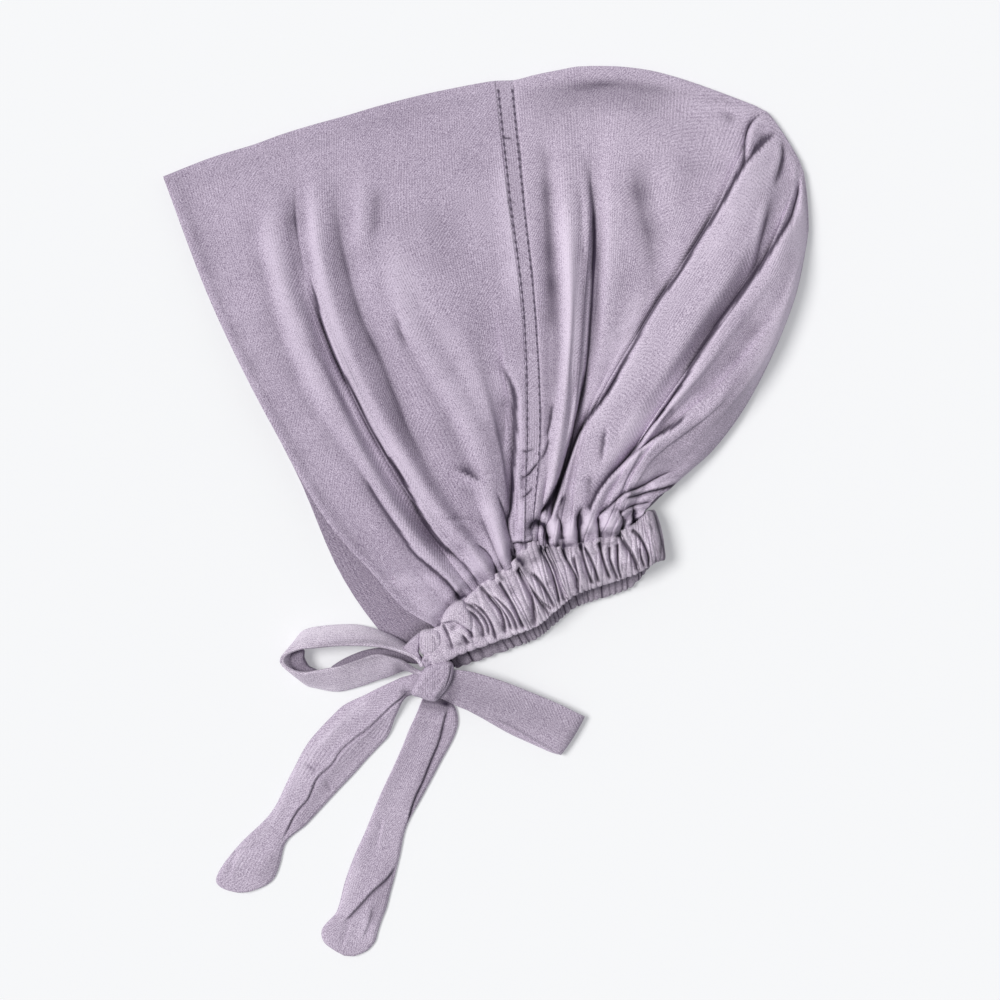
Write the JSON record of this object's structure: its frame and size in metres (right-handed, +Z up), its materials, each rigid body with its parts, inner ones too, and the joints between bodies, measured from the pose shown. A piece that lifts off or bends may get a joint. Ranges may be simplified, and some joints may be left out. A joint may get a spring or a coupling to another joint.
{
  "type": "hijab underscarf cap",
  "caption": "Mauve jersey hijab underscarf cap lying on its side, with a stitched crown seam, a gathered elastic neck casing and ties in a bow.",
  "frame": {"origin": "on the surface that the cap lies on, under the middle of its bounding box", "axes": "+Z up off the surface, +Y from the ties towards the crown fold, +X from the face opening towards the back of the head"},
  "size_m": [0.279, 0.3848, 0.0191],
  "materials": {
    "jersey_front": "matte fine-knit jersey",
    "jersey_seam": "matte fine-knit jersey with stitch rows",
    "jersey_back": "matte fine-knit jersey",
    "jersey_casing": "matte jersey gathered over elastic",
    "jersey_tie": "matte jersey tube"
  },
  "bodies": {
    "root": {"front_panel": "jersey_front", "crown_seam": "jersey_seam", "back_panel": "jersey_back", "neck_casing": "jersey_casing", "bow_knot": "jersey_tie", "bow_loop_left": "jersey_tie", "bow_loop_right": "jersey_tie", "tie_tail_left": "jersey_tie", "tie_tail_right": "jersey_tie"}
  },
  "joints": []
}
